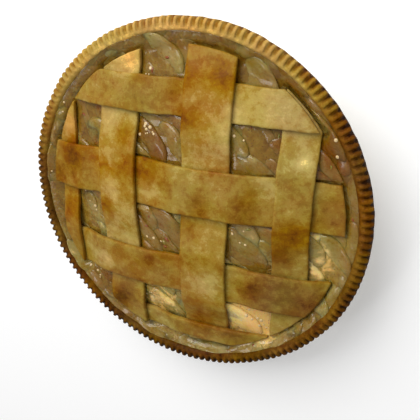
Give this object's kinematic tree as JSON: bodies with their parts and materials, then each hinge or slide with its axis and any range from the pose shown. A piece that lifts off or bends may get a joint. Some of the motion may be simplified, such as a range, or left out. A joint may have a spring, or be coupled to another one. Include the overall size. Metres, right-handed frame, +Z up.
{
  "type": "apple pie",
  "caption": "Uncut round apple pie with a woven lattice top and a fork-marked crust, in its plain glazed pie dish.",
  "frame": {"origin": "on the surface that the dish stands on, under the middle of the pie", "axes": "+Z up out of the pie's top; X and Y along the two sets of lattice strips"},
  "size_m": [0.24, 0.24, 0.0543],
  "materials": {
    "dish_glaze": "gloss",
    "rim_crust": "satin",
    "lattice_crust": "satin",
    "apple_filling": "gloss"
  },
  "bodies": {
    "root": {"pie_dish": "dish_glaze", "pastry_case": "rim_crust", "apple_filling": "apple_filling", "strip_x0": "lattice_crust", "strip_x1": "lattice_crust", "strip_x2": "lattice_crust", "strip_x3": "lattice_crust", "strip_y0": "lattice_crust", "strip_y1": "lattice_crust", "strip_y2": "lattice_crust", "strip_y3": "lattice_crust"}
  },
  "joints": []
}
